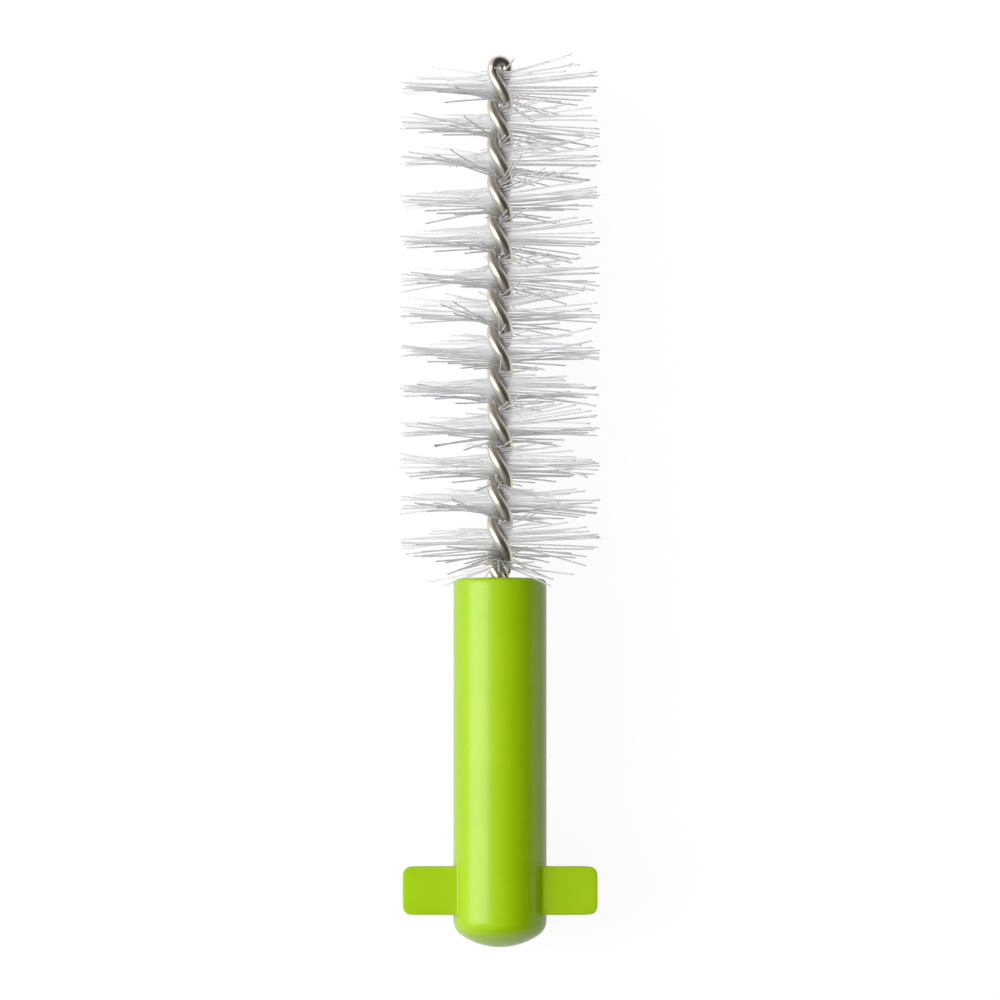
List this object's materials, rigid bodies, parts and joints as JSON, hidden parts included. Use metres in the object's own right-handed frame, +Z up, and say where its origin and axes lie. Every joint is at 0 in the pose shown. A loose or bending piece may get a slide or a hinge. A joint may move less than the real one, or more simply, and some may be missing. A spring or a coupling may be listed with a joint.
{
  "type": "interdental brush head",
  "caption": "Click-in interdental brush head: a moulded holder with two ears, a folded and twisted steel core wire, and nylon filaments gripped in spiral rows to clean between teeth.",
  "frame": {"origin": "on the head's axis, in the plane of the ears' front shoulders, where the head seats in a handle", "axes": "+X along the axis from the holder to the bristled tip, +Y along the ears, +Z up, square to the ears' flat sides"},
  "size_m": [0.0221, 0.005, 0.005],
  "materials": {
    "holder_plastic": "lime green moulded polypropylene, satin gloss",
    "core_steel": "drawn stainless steel wire, bright",
    "bristle_nylon": "clear white nylon filament, smooth"
  },
  "bodies": {
    "root": {"holder": "holder_plastic", "core_wire": "core_steel", "bristle_row_01": "bristle_nylon", "bristle_row_02": "bristle_nylon", "bristle_row_03": "bristle_nylon", "bristle_row_04": "bristle_nylon", "bristle_row_05": "bristle_nylon", "bristle_row_06": "bristle_nylon", "bristle_row_07": "bristle_nylon", "bristle_row_08": "bristle_nylon", "bristle_row_09": "bristle_nylon", "bristle_row_10": "bristle_nylon", "bristle_row_11": "bristle_nylon", "bristle_row_12": "bristle_nylon", "bristle_row_13": "bristle_nylon", "bristle_row_14": "bristle_nylon"}
  },
  "joints": []
}
